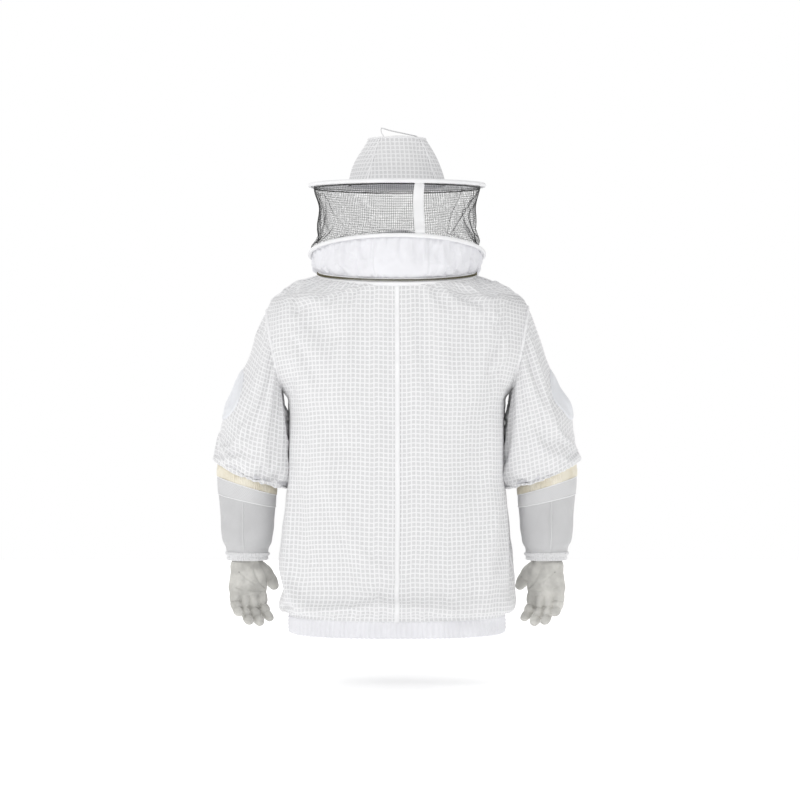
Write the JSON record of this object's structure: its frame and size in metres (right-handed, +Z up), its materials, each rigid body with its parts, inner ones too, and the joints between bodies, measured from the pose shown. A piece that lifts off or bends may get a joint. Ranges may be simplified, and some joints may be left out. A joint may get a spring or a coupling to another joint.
{
  "type": "beekeeping suit",
  "caption": "Ventilated beekeeping jacket with a zip-on round-hat veil on spring hoops, elastic hem and cuffs, and long gauntlet gloves.",
  "frame": {"origin": "centre of the hem's lower edge, where the jacket rests", "axes": "+Z up to the hat, -Y out of the wearer's front, +X to the wearer's left"},
  "size_m": [0.734, 0.3554, 1.0048],
  "materials": {
    "mesh": "padded white waffle mesh",
    "cotton": "smooth white cotton",
    "zip_tape": "woven zip tape",
    "zip_coil": "olive nylon coil",
    "zip_metal": "satin die-cast",
    "wire": "spring wire",
    "net": "fine black mesh",
    "elastic": "cream ribbed elastic",
    "gauntlet": "light grey spacer mesh",
    "leather": "soft off-white goatskin"
  },
  "bodies": {
    "jacket": {"back_panel_left": "mesh", "back_panel_right": "mesh", "front_panel_left": "mesh", "front_panel_right": "mesh", "centre_back_seam": "cotton", "neck_yoke": "cotton", "collar": "mesh", "hem_band": "cotton", "hem_elastic": "elastic", "front_placket": "cotton", "front_zip_tapes": "zip_tape", "front_zip_coils": "zip_coil", "front_zip_stops": "zip_metal", "chest_pocket": "mesh", "hip_pockets": "mesh", "neck_zip_lower_tape": "zip_tape", "neck_zip_lower_coil": "zip_coil"},
    "zip_slider": {"front_zip_slider": "zip_metal"},
    "zip_pull": {"front_zip_pull": "zip_metal"},
    "pocket_flap": {"chest_pocket_flap": "cotton"},
    "neck_tab": {"neck_flap": "cotton"},
    "neck_slider_l": {"neck_slider_left": "zip_metal"},
    "neck_slider_r": {"neck_slider_right": "zip_metal"},
    "veil": {"neck_zip_upper_tape": "zip_tape", "neck_zip_upper_coil": "zip_coil", "veil_skirt": "cotton", "lower_hoop_wire": "wire", "lower_hoop_casing": "cotton", "netting": "net", "net_back_tape": "cotton"},
    "hat": {"brim": "mesh", "brim_wire": "wire", "brim_binding": "cotton", "crown": "mesh", "crown_top": "mesh", "crown_loop": "cotton", "sweatband": "cotton"},
    "upper_arm_left": {"sleeve_head_left": "mesh", "upper_sleeve_left": "mesh", "elbow_patch_left": "cotton"},
    "forearm_left": {"elbow_fold_left": "mesh", "lower_sleeve_left": "mesh", "sleeve_cuff_left": "cotton"},
    "glove_left": {"glove_cuff_left": "elastic", "glove_mesh_band_left": "cotton", "gauntlet_left": "gauntlet", "wrist_elastic_left": "gauntlet", "glove_hand_left": "leather"},
    "upper_arm_right": {"sleeve_head_right": "mesh", "upper_sleeve_right": "mesh", "elbow_patch_right": "cotton"},
    "forearm_right": {"elbow_fold_right": "mesh", "lower_sleeve_right": "mesh", "sleeve_cuff_right": "cotton"},
    "glove_right": {"glove_cuff_right": "elastic", "glove_mesh_band_right": "cotton", "gauntlet_right": "gauntlet", "wrist_elastic_right": "gauntlet", "glove_hand_right": "leather"}
  },
  "joints": [
    {"name": "front_zip_slide", "type": "slide", "parent": "jacket", "child": "zip_slider", "axis": [0, 0, -1], "range_m": [0, 0.5]},
    {"name": "zip_pull_swing", "type": "hinge", "parent": "zip_slider", "child": "zip_pull", "pos_m": [0, -0.1563, 0.566], "axis": [-1, 0, 0], "range_deg": [0, 150]},
    {"name": "pocket_flap_lift", "type": "hinge", "parent": "jacket", "child": "pocket_flap", "pos_m": [0.088, -0.1506, 0.54], "axis": [-0.9781, -0.2079, 0], "range_deg": [0, 120]},
    {"name": "neck_tab_open", "type": "hinge", "parent": "jacket", "child": "neck_tab", "pos_m": [0, -0.1527, 0.612], "axis": [1, 0, 0], "range_deg": [0, 120]},
    {"name": "neck_slider_left_run", "type": "hinge", "parent": "jacket", "child": "neck_slider_l", "pos_m": [0, 0, 0.716], "axis": [0, -0.4695, 0.8829], "range_deg": [0, 70]},
    {"name": "neck_slider_right_run", "type": "hinge", "parent": "jacket", "child": "neck_slider_r", "pos_m": [0, 0, 0.716], "axis": [0, 0.4695, -0.8829], "range_deg": [0, 70]},
    {"name": "veil_tip_back", "type": "hinge", "parent": "jacket", "child": "veil", "pos_m": [0, 0.1615, 0.6945], "axis": [-1, 0, 0], "range_deg": [0, 110]},
    {"name": "veil_collapse", "type": "slide", "parent": "veil", "child": "hat", "axis": [0, 0, -1], "range_m": [0, 0.07], "deforming": ["netting", "net_back_tape"]},
    {"name": "shoulder_left", "type": "hinge", "parent": "jacket", "child": "upper_arm_left", "pos_m": [0.24, 0, 0.61], "axis": [0, -1, 0], "range_deg": [0, 60], "deforming": ["sleeve_head_left"]},
    {"name": "elbow_left", "type": "hinge", "parent": "upper_arm_left", "child": "forearm_left", "pos_m": [0.28, 0, 0.418], "axis": [-1, 0, 0], "range_deg": [0, 80], "deforming": ["elbow_fold_left"]},
    {"name": "glove_left_off", "type": "slide", "parent": "forearm_left", "child": "glove_left", "axis": [0.03, 0, -0.9995], "range_m": [0, 0.09]},
    {"name": "shoulder_right", "type": "hinge", "parent": "jacket", "child": "upper_arm_right", "pos_m": [-0.24, 0, 0.61], "axis": [0, 1, 0], "range_deg": [0, 60], "deforming": ["sleeve_head_right"]},
    {"name": "elbow_right", "type": "hinge", "parent": "upper_arm_right", "child": "forearm_right", "pos_m": [-0.28, 0, 0.418], "axis": [-1, 0, 0], "range_deg": [0, 80], "deforming": ["elbow_fold_right"]},
    {"name": "glove_right_off", "type": "slide", "parent": "forearm_right", "child": "glove_right", "axis": [-0.03, 0, -0.9995], "range_m": [0, 0.09]}
  ]
}
